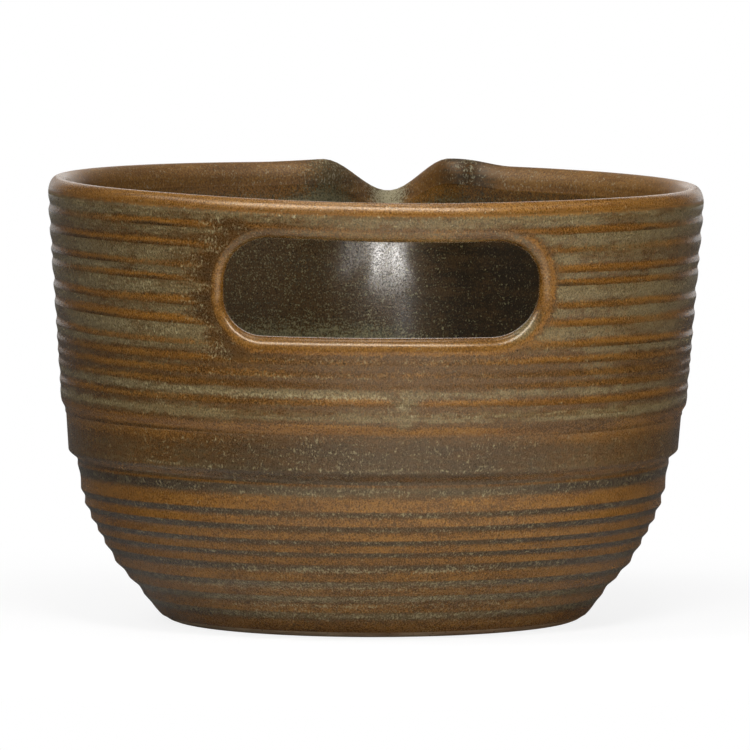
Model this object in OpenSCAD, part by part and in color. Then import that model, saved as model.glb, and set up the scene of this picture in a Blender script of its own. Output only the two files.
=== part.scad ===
// Spouted stoneware bowl: one fired clay body with thrown rings, a pulled spout and a hand slot,
// under a glaze coat in four areas (outside, rim, inside and slot lining).
// Frame: origin at the centre of the foot's rest plane, +Z up, hand slot towards -Y, spout towards +Y.

/* [Bowl] */
// Height of the rim's crest above the rest plane
rim_h = 109.5; // [98:0.5:125]
// Outside radius under the rim
rim_r = 82; // [76:0.5:92]
// Wall thickness, clay and glaze together
wall_t = 5.8; // [5:0.1:7]
// Rounding of the rim's outside edge
rim_round = 3.4; // [3.2:0.1:4.5]
// How much the outside wall draws in for each millimetre of height
wall_taper = 0.0765; // [0.04:0.005:0.1]
// How much the inside wall draws in for each millimetre of height
inside_taper = 0.098; // [0.06:0.005:0.12]

/* [Ledges] */
// Height of the upper ledge
ledge_z = 53; // [50:0.5:58]
// How far the wall steps in at the upper ledge
ledge_drop = 0.9; // [0.4:0.1:2]
// Height of the lower ledge
waist_z = 41.4; // [40:0.1:45]
// How far the wall steps in at the lower ledge
waist_drop = 2.1; // [0.4:0.1:2.5]
// Height that each ledge takes to step in
ledge_h = 2.8; // [1.5:0.1:4]

/* [Belly and foot] */
// Height where the wall turns into the rounded belly
belly_z = 38; // [34:0.5:39]
// Radius of the belly's arc
belly_arc = 64; // [50:1:120]
// Outside radius of the ring that the bowl rests on
foot_r = 50; // [42:0.5:54]
// Rounding between the belly and the rest plane
foot_round = 5; // [3:0.5:8]
// Width of the ring that the bowl rests on
foot_ring_w = 6; // [3:0.5:12]
// Depth of the turned hollow inside the foot ring
foot_hollow = 1.5; // [0.5:0.1:3]
// Height of the inside floor above the rest plane
floor_z = 8; // [6:0.5:14]
// Radius of the flat part of the inside floor
floor_flat_r = 30; // [15:1:40]
// Height where the inside wall turns into the rounded floor
cove_z = 44; // [38:0.5:45]

/* [Rings] */
// Depth of the grooves between the thrown rings on the upper wall
ring_depth = 0.45; // [0.1:0.05:0.8]
// Half the width of a groove between thrown rings
ring_half_w = 1.7; // [1.3:0.1:2.5]
// Depth of the ribs on the belly
rib_depth = 0.55; // [0.1:0.05:0.8]
// Distance between the ribs on the belly
rib_pitch = 3.75; // [3:0.05:6]

/* [Glaze] */
// Thickness of the glaze coat
glaze_t = 0.4; // [0.2:0.05:0.7]
// Height of the rim's glaze band on the inside wall, less where the slot comes close
rim_band = 6.5; // [4:0.5:12]

/* [Hand slot] */
// Width of the slot, as seen straight through it
slot_w = 76.8; // [60:0.1:90]
// Height of the slot
slot_h = 23.3; // [18:0.1:26]
// Radius of the slot's corners
slot_corner = 10; // [4:0.5:11.5]
// Height of the bar of wall above the slot, up to the rim's crest
grip_h = 10.4; // [9:0.1:15]
// Angle that the slot's edges are rounded through on each side
slot_edge_angle = 62; // [30:1:70]
// How far the slot is turned off the centre line, towards +X
slot_turn = 1.1; // [-4:0.1:4]

/* [Spout] */
// How far the lip stands out past the rim
spout_reach = 15; // [6:0.5:20]
// Half the width of the spout at the lip
spout_half_w = 17; // [12:0.5:22]
// How far the lip dips below the shoulders beside it
spout_dip = 9.6; // [4:0.2:14]
// How far the shoulders beside the lip rise above the rim
spout_rise = 1.6; // [0:0.1:3]
// How far the shoulders are pinched in
spout_pinch = 1.2; // [0:0.1:3]
// Height where the spout starts to leave the wall
spout_root_z = 46; // [46:0.5:58]
// How far the spout is turned off the centre line, towards +X
spout_turn = 2; // [-4:0.1:4]

/* [Hidden] */
$fn = 96;

// Colours of the clay and of the glaze where it lies thick, breaks thin and pools dark
clay_colour = "#b9a58a";
outside_colour = "#6b5a3e";
rim_colour = "#8a5a22";
inside_colour = "#3a2f20";

// Distances of the grooves between the thrown rings below the crest, uneven as a hand leaves them
ring_drops = [7.5, 12.5, 18, 21, 27, 31, 36.5, 39.5, 43, 46, 49.5];
// Height from one row of surface points to the next
row_step = 1.25;
// Room between the belly's ribs and the ends of the belly
rib_margin = 2;
// Steps around each rounded edge of the section
round_steps = 6;
// Steps from the spout's middle to the end of its sector, and plain wall kept at that end
spout_steps = 9;
spout_margin = 4;
// How far the spout's sector runs into the wall around it, and how far it is sunk below the faces there
seam_run = 0.4;
seam_sink = 0.03;
// How the spout's steps crowd towards its middle
spout_crowding = 1.3;
// How the reach and the dip gather towards the lip, and the spout's width at its root as a share of the lip's
reach_power = 2.6;
dip_power = 3;
root_width_share = 2.2;
// How far the raised shoulders spread, and how far the pinch spreads, in half widths of the spout
rise_spread = 2;
pinch_spread = 0.6;
// Points on a straight long side, a short side and a corner of the slot
slot_long_steps = 10;
slot_corner_steps = 6;
slot_edge_steps = 3;
// How far the slot's cutter runs past the wall's faces
slot_overrun = 3;
// Plain wall kept between the slot's round edge and the rim's glaze band
band_gap = 0.6;
// Wall around the slot that its lining is cut from, as an angle and as heights past the slot
lining_angle = 12;
lining_margin = 6;

// Rim and slot places that follow from the sizes above
shoulder_z = rim_h - rim_round;
crest_r = rim_r - rim_round;
rim_inside_round = wall_t - rim_round;
neck_z = rim_h - rim_inside_round;
slot_mid_z = rim_h - grip_h - slot_h / 2;
slot_edge_arc = wall_t / 2 / sin(slot_edge_angle);
slot_flare = slot_edge_arc * (1 - cos(slot_edge_angle));
rim_band_z = rim_h - min(rim_band, grip_h - slot_flare - glaze_t - band_gap);
belly_foot_angle = 45;
belly_foot = [
    foot_r + foot_round * sin(belly_foot_angle),
    foot_round * (1 - cos(belly_foot_angle))
];
rib_count = floor((belly_z - belly_foot[1] - 2 * rib_margin) / rib_pitch);

function smooth_step(u) = let (c = min(1, max(0, u))) c * c * (3 - 2 * c);
function bump(u) = abs(u) < 1 ? (1 + cos(180 * u)) / 2 : 0;
function sum(list, i = 0) = i < len(list) ? list[i] + sum(list, i + 1) : 0;
function reverse(list) = [for (i = [len(list) - 1 : -1 : 0]) list[i]];

// Outside wall above the belly: a tapered line with two ledges
function ledge(z, height, drop) = drop * smooth_step((height - z) / ledge_h + 0.5);
function wall_r(z) =
    rim_r - wall_taper * (shoulder_z - z) - ledge(z, ledge_z, ledge_drop) - ledge(z, waist_z, waist_drop);

// Belly: an arc from the bottom of the wall to the foot's rounding
belly_top = [wall_r(belly_z), belly_z];
belly_chord = belly_top - belly_foot;
belly_out = [belly_chord[1], -belly_chord[0]] / norm(belly_chord);
belly_depth = sqrt(pow(belly_arc, 2) - pow(norm(belly_chord) / 2, 2));
belly_centre = (belly_top + belly_foot) / 2 - belly_out * belly_depth;
function belly_r(z) = belly_centre[0] + sqrt(pow(belly_arc, 2) - pow(z - belly_centre[1], 2));

// Grooves part the wall above the upper ledge into thrown rings, and the belly into evenly spaced ribs
ring_zs = [for (d = ring_drops) if (rim_h - d > ledge_z + ledge_h) rim_h - d];
rib_zs = [for (i = [0 : rib_count]) belly_z - rib_margin - rib_pitch * (i + 0.5)];
function relief(z) =
    -ring_depth * sum([for (g = ring_zs) bump((z - g) / ring_half_w)])
    - rib_depth * sum([for (g = rib_zs) bump((z - g) / (rib_pitch / 2))]);
function outside_r(z) = (z < belly_z ? belly_r(z) : wall_r(z)) + relief(z);
function inside_r(z) = rim_r - wall_t - inside_taper * (shoulder_z - z);

// Points of the glazed section as [r, z], in order from the foot over the rim to the middle of the floor
n_low = ceil((spout_root_z - belly_foot[1]) / row_step);
n_wall = ceil((shoulder_z - spout_root_z) / row_step);
n_neck = ceil((rim_band - rim_inside_round) / row_step);
n_inside = n_wall + 1 - n_neck;
cove_steps = 2 * round_steps;
cove_start_r = inside_r(cove_z);
function rows(a, b, n) = [for (i = [1 : n]) a + (b - a) * i / n];
glazed = concat(
    [[outside_r(belly_foot[1]), belly_foot[1]]],
    [for (z = rows(belly_foot[1], spout_root_z, n_low)) [outside_r(z), z]],
    [for (z = rows(spout_root_z, shoulder_z, n_wall)) [outside_r(z), z]],
    [for (a = rows(0, 90, round_steps)) [crest_r, shoulder_z] + rim_round * [cos(a), sin(a)]],
    [for (a = rows(90, 180, round_steps)) [crest_r, neck_z] + rim_inside_round * [cos(a), sin(a)]],
    [for (z = rows(neck_z, rim_band_z, n_neck)) [inside_r(z), z]],
    [for (z = rows(rim_band_z, spout_root_z, n_inside)) [inside_r(z), z]],
    [[cove_start_r, cove_z]],
    [
        for (a = rows(0, 90, cove_steps))
        [floor_flat_r + (cove_start_r - floor_flat_r) * cos(a), cove_z - (cove_z - floor_z) * sin(a)]
    ],
    [[0, floor_z]]
);
at_root = n_low;
at_shoulder = at_root + n_wall;
at_crest = at_shoulder + round_steps;
at_band = at_crest + round_steps + n_neck;
at_inside_root = at_band + n_inside;
at_middle = len(glazed) - 1;
function stretch(list, from, to) = [for (i = [from : sign(to - from) : to]) list[i]];

// The section moved into the clay by the glaze's thickness, level where the spout's sector starts
function inward(list) = [
    for (i = [0 : len(list) - 1])
    let (
        a = list[max(0, i - 1)],
        b = list[min(len(list) - 1, i + 1)],
        t = (b - a) / norm(b - a),
        p = list[i] + glaze_t * [-t[1], t[0]],
        level = i == at_root || i == at_inside_root
    )
    [i == at_middle ? 0 : p[0], level ? list[i][1] : p[1]]
];
clay = inward(glazed);

// Bare foot: rounding from the rest plane up to the clay under the glaze's lower edge
clay_foot = [
    for (i = [0 : round_steps - 1]) let (a = belly_foot_angle * i / round_steps)
    [
        foot_r + (clay[0][0] - foot_r) * sin(a) / sin(belly_foot_angle),
        clay[0][1] * (1 - cos(a)) / (1 - cos(belly_foot_angle))
    ]
];
foot_inside = [
    [0, foot_hollow],
    [foot_r - foot_ring_w - foot_hollow, foot_hollow],
    [foot_r - foot_ring_w, 0]
];

// A point of the section carried round to the spout's sector, and pushed into the spout's shape there
function spout_point(p, angle) =
    let (
        s = min(1, max(0, (p[1] - spout_root_z) / (rim_h - spout_root_z))),
        x = p[0] * sin(angle),
        y = p[0] * cos(angle),
        w = spout_half_w * (root_width_share + (1 - root_width_share) * s),
        push = spout_reach * pow(s, reach_power) * bump(x / w)
            - spout_pinch * pow(s, reach_power) * bump((abs(x) / spout_half_w - 1) / pinch_spread),
        lift = pow(s, dip_power) * (spout_rise * bump(x / (rise_spread * spout_half_w))
            - spout_dip * bump(x / spout_half_w))
    )
    [x, y + push, p[1] + lift];
spout_half_angle = ceil(asin((rise_spread * spout_half_w + spout_margin) / (rim_r - wall_t)));
seam_angle = seam_run / rim_r * 180 / PI;
function spout_angle(j) = spout_half_angle * pow(j / spout_steps, spout_crowding);
spout_angles = concat(
    [-spout_half_angle - seam_angle, -spout_half_angle + seam_angle],
    [for (j = [spout_steps - 1 : -1 : 1]) -spout_angle(j)],
    [for (j = [0 : spout_steps - 1]) spout_angle(j)],
    [spout_half_angle - seam_angle, spout_half_angle + seam_angle]
);

// A strip of the section between two lists of points, as one outline
module strip(a, b) polygon(concat(a, reverse(b)));

// One side of a strip sunk towards the other side and away from the strip's ends
function unit(v) = v / norm(v);
function sunk(a, b) = [
    for (i = [0 : len(a) - 1])
    let (
        inner = i == 0 ? 1 : i == len(a) - 1 ? i - 1 : i,
        along = inner == i ? [0, 0] : unit(a[inner] + b[inner] - a[i] - b[i])
    )
    a[i] + seam_sink * (unit(b[i] - a[i]) + along)
];
// One side of a strip with its first point replaced by two, so that the strip runs into the wall below
function rooted_side(a, b) =
    let (p = a[0] + seam_sink * unit(b[0] - a[0]))
    concat([p - [0, seam_run], p + [0, seam_run]], stretch(a, 1, len(a) - 1));

// The strip between two equally long lists, swept through the spout's sector and sunk into the wall
module spout_sector(a, b) {
    n = len(a);
    m = len(spout_angles);
    ring = 2 * n;
    loop = concat(a, reverse(b));
    sunk_loop = concat(sunk(a, b), reverse(sunk(b, a)));
    points = [
        for (j = [0 : m - 1]) for (p = j < 2 || j > m - 3 ? sunk_loop : loop)
        spout_point(p, spout_angles[j])
    ];
    skin = [
        for (j = [0 : m - 2]) for (i = [0 : ring - 1])
        let (k = (i + 1) % ring, p = j * ring, q = p + ring)
        each [[p + i, q + i, q + k], [p + i, q + k, p + k]]
    ];
    ends = [
        for (i = [0 : n - 2]) let (k = ring - 1 - i, q = (m - 1) * ring)
        each [
            [i, i + 1, k - 1], [i, k - 1, k],
            [q + i, q + k - 1, q + i + 1], [q + i, q + k, q + k - 1]
        ]
    ];
    rotate([0, 0, -spout_turn])
        polyhedron(points, concat(skin, ends));
}

// The same strip revolved round the rest of the bowl
module around_spout(a, b) {
    rotate([0, 0, 90 - spout_turn + spout_half_angle])
        rotate_extrude(angle = 360 - 2 * spout_half_angle) strip(a, b);
}

module spouted(a, b) {
    around_spout(a, b);
    spout_sector(a, b);
}

// A strip that stands on the full ring of wall below it, with the hand slot cut
module rooted(a, b) {
    difference() {
        around_spout(a, b);
        slot_cutter(glaze_t);
    }
    spout_sector(rooted_side(a, b), rooted_side(b, a));
}

// Outline of the slot, grown by some distance, from its right end over the top and back underneath
function slot_corner_points(side_x, side_z, from, grow) = [
    for (i = [0 : slot_corner_steps]) let (a = from + 90 * i / slot_corner_steps)
    [
        side_x * (slot_w / 2 - slot_corner) + (slot_corner + grow) * cos(a),
        side_z * (slot_h / 2 - slot_corner) + (slot_corner + grow) * sin(a)
    ]
];
function between(a, b) = [for (i = [1 : slot_long_steps - 1]) a + (b - a) * i / slot_long_steps];
function slot_outline(grow) =
    let (
        ne = slot_corner_points(1, 1, 0, grow),
        nw = slot_corner_points(-1, 1, 90, grow),
        sw = slot_corner_points(-1, -1, 180, grow),
        se = slot_corner_points(1, -1, 270, grow),
        last = slot_corner_steps
    )
    concat(ne, between(ne[last], nw[0]), nw, sw, between(sw[last], se[0]), se);

// The slot's cutter runs straight through the curved wall and flares towards both faces with a round edge
function slot_ring(depth, grow) =
    let (mid_r = rim_r - wall_t / 2, taper = (wall_taper + inside_taper) / 2)
    [
        for (p = slot_outline(grow))
        let (
            z = slot_mid_z + p[1],
            r = mid_r - taper * (shoulder_z - z) + depth,
            a = asin(p[0] / r)
        )
        [p[0], -r * cos(a), z]
    ];
module slot_cutter(extra) {
    arc = slot_edge_arc - extra;
    middle = [
        for (i = [-slot_edge_steps : slot_edge_steps]) let (a = slot_edge_angle * i / slot_edge_steps)
        [arc * sin(a), extra + arc * (1 - cos(a))]
    ];
    flare = slot_overrun * tan(slot_edge_angle);
    first = middle[0];
    last = middle[len(middle) - 1];
    stations = concat(
        [first + [-slot_overrun, flare]],
        middle,
        [last + [slot_overrun, flare]]
    );
    rings = [for (s = stations) slot_ring(s[0], s[1])];
    n = len(rings[0]);
    m = len(rings);
    skin = [
        for (j = [0 : m - 2]) for (i = [0 : n - 1])
        let (k = (i + 1) % n, p = j * n, q = p + n)
        each [[p + i, q + k, p + k], [p + i, q + i, q + k]]
    ];
    ends = [
        for (i = [0 : n / 2 - 2]) let (k = n - 1 - i, q = (m - 1) * n)
        each [
            [i, k - 1, k], [i, i + 1, k - 1],
            [q + i, q + k, q + k - 1], [q + i, q + k - 1, q + i + 1]
        ]
    ];
    rotate([0, 0, slot_turn])
        polyhedron([for (r = rings) each r], concat(skin, ends));
}

// The wall around the slot, clay and glaze together
module slot_wall() {
    low = slot_mid_z - slot_h / 2 - lining_margin;
    half = asin(slot_w / 2 / rim_r) + lining_angle;
    outside = [for (p = stretch(glazed, at_root, at_shoulder)) if (p[1] >= low) p];
    inside = [for (p = outside) [inside_r(p[1]), p[1]]];
    rotate([0, 0, 270 + slot_turn - half])
        rotate_extrude(angle = 2 * half) strip(outside, inside);
}

// A stretch of the glaze coat all round, from one place of the section to another
module full_coat(from, to) rotate_extrude() strip(stretch(glazed, from, to), stretch(clay, from, to));

module stoneware_body() color(clay_colour) {
    below_root = concat(stretch(clay, 0, at_root), stretch(clay, at_inside_root, at_middle));
    rotate_extrude() polygon(concat(foot_inside, clay_foot, below_root));
    rooted(stretch(clay, at_root, at_crest), stretch(clay, at_inside_root, at_crest + 1));
}

module outside_glaze() color(outside_colour) {
    full_coat(0, at_root);
    rooted(stretch(glazed, at_root, at_shoulder), stretch(clay, at_root, at_shoulder));
}

module rim_glaze() color(rim_colour)
    spouted(stretch(glazed, at_shoulder, at_band), stretch(clay, at_shoulder, at_band));

module inside_glaze() color(inside_colour) {
    rooted(stretch(clay, at_inside_root, at_band), stretch(glazed, at_inside_root, at_band));
    full_coat(at_inside_root, at_middle);
}

module slot_glaze() color(rim_colour) difference() {
    intersection() {
        slot_wall();
        slot_cutter(glaze_t);
    }
    slot_cutter(0);
}

stoneware_body();
outside_glaze();
rim_glaze();
inside_glaze();
slot_glaze();
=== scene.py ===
"""Looks of a spouted stoneware bowl: four glaze skins over a clay body, a plain studio and the camera.

Blender works in metres. The sizes below are in millimetres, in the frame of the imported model: origin at
the centre of the foot, +Z up, hand slot towards -Y, spout towards +Y. Angles run from -Y towards +X.
"""

import logging
import math
from dataclasses import dataclass, field
from enum import Enum
from typing import Any, NamedTuple, Optional, Union

import bpy
import numpy as np
from mathutils import Euler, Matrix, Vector


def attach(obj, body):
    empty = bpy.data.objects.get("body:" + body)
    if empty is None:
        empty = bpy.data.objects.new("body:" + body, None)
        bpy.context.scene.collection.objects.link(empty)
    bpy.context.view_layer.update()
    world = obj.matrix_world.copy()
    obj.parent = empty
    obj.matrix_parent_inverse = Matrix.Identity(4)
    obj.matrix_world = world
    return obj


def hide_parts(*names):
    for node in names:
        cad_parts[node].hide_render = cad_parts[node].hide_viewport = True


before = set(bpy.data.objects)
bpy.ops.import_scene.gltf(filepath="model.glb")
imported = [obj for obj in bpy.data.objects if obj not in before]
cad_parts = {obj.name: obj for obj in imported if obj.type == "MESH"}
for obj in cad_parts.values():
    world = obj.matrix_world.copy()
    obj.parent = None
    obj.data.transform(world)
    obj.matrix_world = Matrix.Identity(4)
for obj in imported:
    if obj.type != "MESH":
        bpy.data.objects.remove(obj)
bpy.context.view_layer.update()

LOG = logging.getLogger("spouted_bowl")
MM = 0.001
IMAGE = 750.0
FAR = 1000.0
FRONT_COS = 0.2
Array = np.ndarray
Triple = tuple[float, float, float]
Colour = Triple


def smooth(u: Array) -> Array:
    """Cubic step from 0 to 1 as u goes from 0 to 1."""
    c = np.clip(u, 0.0, 1.0)
    return c * c * (3.0 - 2.0 * c)


def bump(u: Array) -> Array:
    """Cosine bump of height 1 for u between -1 and 1."""
    return 0.5 + 0.5 * np.cos(np.pi * np.clip(u, -1.0, 1.0))


class Zone(Enum):
    """Areas of the bowl's surface, one for each piece that shows."""

    FOOT = 0
    OUTSIDE = 1
    RIM = 2
    INSIDE = 3
    SLOT = 4


class Masks(NamedTuple):
    """How far the glaze breaks to rust, pools grey-green, is dark or is frosted, from 0 to 1. In places the
    dark share is painted shade and the frost a painted reflection.
    """

    rust: Array
    grey: Array
    deep: Array
    frost: Array


@dataclass(frozen=True)
class Section:
    """Turned section of the wall before rings, spout and lean are added."""

    rim_h: float = 109.5
    rim_r: float = 82.0
    wall_t: float = 5.8
    rim_round: float = 4.0
    rim_round_w: float = 2.3
    taper: float = 0.0765
    inside_taper: float = 0.098
    ledge_z: float = 53.2
    ledge_drop: float = 0.9
    waist_z: float = 41.4
    waist_drop: float = 2.1
    ledge_h: float = 2.5
    belly_z: float = 39.2
    belly_arc: float = 70.0
    belly_full: float = 0.6
    belly_full_z: float = 29.0
    belly_full_half: float = 10.0
    belly_lean: float = 1.0
    belly_lean_z: float = 8.5
    belly_lean_half: float = 7.0
    foot_r: float = 49.8
    foot_round: float = 5.0
    foot_ring_w: float = 6.0
    foot_hollow: float = 1.5
    floor_z: float = 8.0
    floor_flat_r: float = 30.0
    cove_z: float = 44.0
    band_z: float = 103.6
    roll_h: float = 4.6

    @property
    def shoulder_z(self) -> float:
        """Height where the outside wall turns into the rim."""
        return self.rim_h - self.rim_round

    @property
    def roll_w(self) -> float:
        """How far the rim rolls over towards the inside, from the crest to the inside wall."""
        return self.crest_r - float(self.inside_r(np.array(self.rim_h - self.roll_h)))

    @property
    def crest_r(self) -> float:
        """Radius of the rim's crest."""
        return self.rim_r - self.rim_round_w

    @property
    def glaze_foot(self) -> tuple[float, float]:
        """Radius and height of the glaze's lower edge, halfway round the foot's rounding."""
        turn = math.sqrt(0.5)
        return self.foot_r + self.foot_round * turn, self.foot_round * (1.0 - turn)

    def wall_r(self, u: Array) -> Array:
        """Radius of the tapered upper wall with its two ledges.

        Args:
            u: Heights in the wall.

        Returns:
            Radii of the wall.
        """
        ledge = self.ledge_drop * smooth((self.ledge_z - u) / self.ledge_h + 0.5)
        waist = self.waist_drop * smooth((self.waist_z - u) / self.ledge_h + 0.5)
        return self.rim_r - self.taper * (self.shoulder_z - u) - ledge - waist

    def outside_r(self, u: Array) -> Array:
        """Radius of the outside from the glaze's lower edge up to the rim's shoulder.

        Args:
            u: Heights in the wall.

        Returns:
            Radii of the wall, or of the belly's arc below it.
        """
        top = np.array([float(self.wall_r(np.array(self.belly_z))), self.belly_z])
        foot = np.array(self.glaze_foot)
        chord = top - foot
        span = float(np.hypot(*chord))
        out = np.array([chord[1], -chord[0]]) / span
        centre = (top + foot) / 2 - out * math.sqrt(self.belly_arc**2 - span**2 / 4)
        arc = centre[0] + np.sqrt(np.maximum(self.belly_arc**2 - (u - centre[1]) ** 2, 0.0))
        arc = arc + self.belly_full * bump((u - self.belly_full_z) / self.belly_full_half)
        arc = arc - self.belly_lean * bump((u - self.belly_lean_z) / self.belly_lean_half)
        return np.where(u < self.belly_z, arc, self.wall_r(u))

    def inside_r(self, u: Array) -> Array:
        """Radius of the tapered inside wall."""
        return self.rim_r - self.wall_t - self.inside_taper * (self.shoulder_z - u)


class Ring(NamedTuple):
    """A thrown ring: height of its crisp corner, depth of the groove above it, and its rust edge."""

    z: float
    depth: float
    rust: float
    width: float


@dataclass(frozen=True)
class ThrownRings:
    """Rings of the upper wall. Each band starts at a crisp corner and curls in towards the next one.

    The pools are heights, and how far the glaze pools grey-green there.
    """

    rings: tuple[Ring, ...] = (
        Ring(105.5, 0.0, 0.0, 1.0),
        Ring(101.4, 0.45, 1.0, 1.3),
        Ring(96.6, 0.4, 0.85, 1.4),
        Ring(91.5, 0.4, 1.0, 1.3),
        Ring(88.2, 0.35, 1.0, 1.2),
        Ring(82.5, 0.45, 1.0, 1.6),
        Ring(78.0, 0.35, 1.0, 1.8),
        Ring(72.9, 0.35, 1.0, 1.4),
        Ring(69.2, 0.25, 0.9, 1.3),
        Ring(66.0, 0.2, 0.7, 1.2),
        Ring(63.3, 0.2, 0.5, 1.0),
        Ring(59.0, 0.3, 0.9, 1.4),
        Ring(56.2, 0.15, 0.0, 1.0),
        Ring(51.6, 0.15, 1.0, 2.6),
    )
    pools: tuple[tuple[float, float], ...] = (
        (51.0, 0.1), (54.8, 0.1), (55.8, 0.9), (57.0, 0.85), (58.2, 0.3), (60.8, 0.3), (61.6, 0.85),
        (62.6, 0.85), (63.6, 0.15), (67.6, 0.15), (68.4, 0.45), (69.2, 0.2), (71.0, 0.3), (72.0, 0.85),
        (80.0, 0.8), (86.0, 0.9), (98.5, 0.65), (100.3, 0.85), (103.5, 0.78), (106.0, 0.78),
    )
    rise: float = 1.6
    curl: float = 2.6
    swell: float = 0.2
    curl_share: float = 0.75
    fade_top: float = 2.0
    fade_low: float = 0.5

    def above_corner(self, u: Array) -> tuple[Array, Array, Array]:
        """Where heights lie in their band.

        Args:
            u: Heights in the wall.

        Returns:
            Index of the ring at the band's lower corner, height above it, and the band's height.
        """
        corners = np.array([r.z for r in self.rings])
        lower = np.clip(np.searchsorted(-corners, -u, side="left"), 1, len(corners) - 1)
        return lower, u - corners[lower], corners[lower - 1] - corners[lower]

    def relief(self, u: Array) -> Array:
        """How far the rings stand out from the plain wall.

        Args:
            u: Heights in the wall.

        Returns:
            Distances outwards.
        """
        lower, q, height = self.above_corner(u)
        depth = np.array([r.depth for r in self.rings])[lower]
        curl = 1.0 - smooth((q - self.rise) / np.minimum(self.curl, height - self.rise))
        slope = 1.0 - (q - self.rise) / (height - self.rise)
        settled = self.curl_share * curl + (1.0 - self.curl_share) * slope
        sunk = np.where(q < self.rise, smooth(q / self.rise), settled)
        top, low = self.rings[0].z, self.rings[-1].z
        there = smooth((top - u) / self.fade_top) * smooth((u - low + self.fade_low) / self.fade_low)
        return there * (self.swell - depth * sunk)

    @staticmethod
    def uneven(phi: Array, ring: Array) -> Array:
        """Slow rise and fall between -1 and 1 along a ring, different for each ring."""
        slow = np.sin(2.0 * phi + 1.7 * ring) + 0.7 * np.sin(5.0 * phi + 2.9 * ring + 0.5)
        return (slow + 0.5 * np.sin(11.0 * phi + 4.1 * ring)) / 2.2

    def masks(self, phi: Array, u: Array) -> Masks:
        """Colour of the bands: rust where they curl in, dark at the foot of the curl, grey-green above.

        Args:
            phi: Angles.
            u: Heights in the wall.

        Returns:
            Rust, grey-green, dark and frosted shares of each point.
        """
        lower, q, height = self.above_corner(u)
        wave = self.uneven(phi, lower)
        strength = np.array([r.rust for r in self.rings])[lower] * np.clip(0.8 + 0.45 * wave, 0.35, 1.0)
        width = np.array([r.width for r in self.rings])[lower] * (0.9 + 0.35 * self.uneven(phi, lower + 0.4))
        side = smooth((-phi - 0.45) / 0.3)
        left = side * smooth((u - 80.0) / 5.0)
        rust = strength * smooth((q + 0.5) / 1.0) * (1.0 - smooth((q - width + 0.2) / 1.5))
        deep = (0.7 + 0.2 * left) * strength * bump((q - 0.3) / 1.3)
        grey = np.interp(u, *zip(*self.pools)) * (0.85 - 0.3 * wave)
        pale = bump((q - 0.65 * height) / (0.4 * height))
        frost = (0.25 + side * (0.1 + 0.35 * pale)) * grey * (1.0 - rust)
        return Masks(rust, grey * (1.0 - rust), deep, frost)


@dataclass(frozen=True)
class BellyRibs:
    """Turned ribs of the belly. A dark slope falls in from each corner to an upright rust face."""

    corners: tuple[float, ...] = (39.2, 32.9, 29.2, 25.5, 22.4, 19.2, 14.8, 10.9, 6.6, 2.0)
    depths: tuple[float, ...] = (0.12, 0.3, 0.3, 0.28, 0.25, 0.28, 0.28, 0.28, 0.15)
    slope_share: float = 0.5
    face_power: float = 1.3
    join: float = 0.4

    @property
    def top(self) -> float:
        """Height where the rings of the wall take over from the ribs."""
        return self.corners[0] + self.join

    def below_corner(self, u: Array) -> tuple[Array, Array]:
        """Where heights lie in their rib.

        Args:
            u: Heights in the wall.

        Returns:
            Index of the rib, and the share of the rib above each height.
        """
        corners = np.array(self.corners)
        upper = np.clip(np.searchsorted(-corners, -u, side="right") - 1, 0, len(corners) - 2)
        return upper, (corners[upper] - u) / (corners[upper] - corners[upper + 1])

    def relief(self, u: Array) -> Array:
        """How far the ribs stand out from the belly's arc.

        Args:
            u: Heights in the wall.

        Returns:
            Distances outwards.
        """
        upper, t = self.below_corner(u)
        depth = np.array(self.depths)[upper]
        nxt = np.array(self.depths + (0.0,))[upper + 1]
        face = np.clip((t - self.slope_share) / (1.0 - self.slope_share), 0.0, 1.0)
        fall = depth * (1.0 - 2.0 * smooth(t / self.slope_share))
        rise = -depth + (depth + nxt) * face**self.face_power
        return np.where(t < self.slope_share, fall, rise) * smooth((self.top - u) / (2.0 * self.join))

    def masks(self, phi: Array, u: Array) -> Masks:
        """Colour of the ribs: dark slopes and rust faces, greyer and frosted towards the foot at the front,
        where the frost is partly painted reflection of the white floor.

        Args:
            phi: Angles.
            u: Heights in the wall.

        Returns:
            Rust, grey-green, dark and frosted shares of each point.
        """
        upper, t = self.below_corner(u)
        dark = smooth((t + 0.08) / 0.22) * (1.0 - smooth((t - 0.2) / 0.42))
        low = smooth((21.0 - u) / 12.0) * (0.4 + 0.6 * smooth((u - 2.5) / 4.5))
        front = 1.0 - smooth((np.abs(phi - 0.05) - 0.3) / 0.6)
        rust = (1.0 - dark) * (0.95 - 0.15 * low) * (1.0 - 0.3 * front)
        grey = np.maximum(dark * np.where(upper == 0, 0.7, 0.3 + 0.4 * low), 0.12 * low)
        # Frost low at the front: partly the glaze's own flecks, partly painted reflection of the white floor.
        frost_and_floor_sheen = low * (1.0 - 0.7 * smooth((np.abs(phi - 0.1) - 0.6) / 0.5))
        frost = np.maximum(dark * (0.4 + 0.3 * low), 0.26 * frost_and_floor_sheen)
        return Masks(rust, grey, dark * (0.95 - 0.35 * low), frost)


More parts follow.
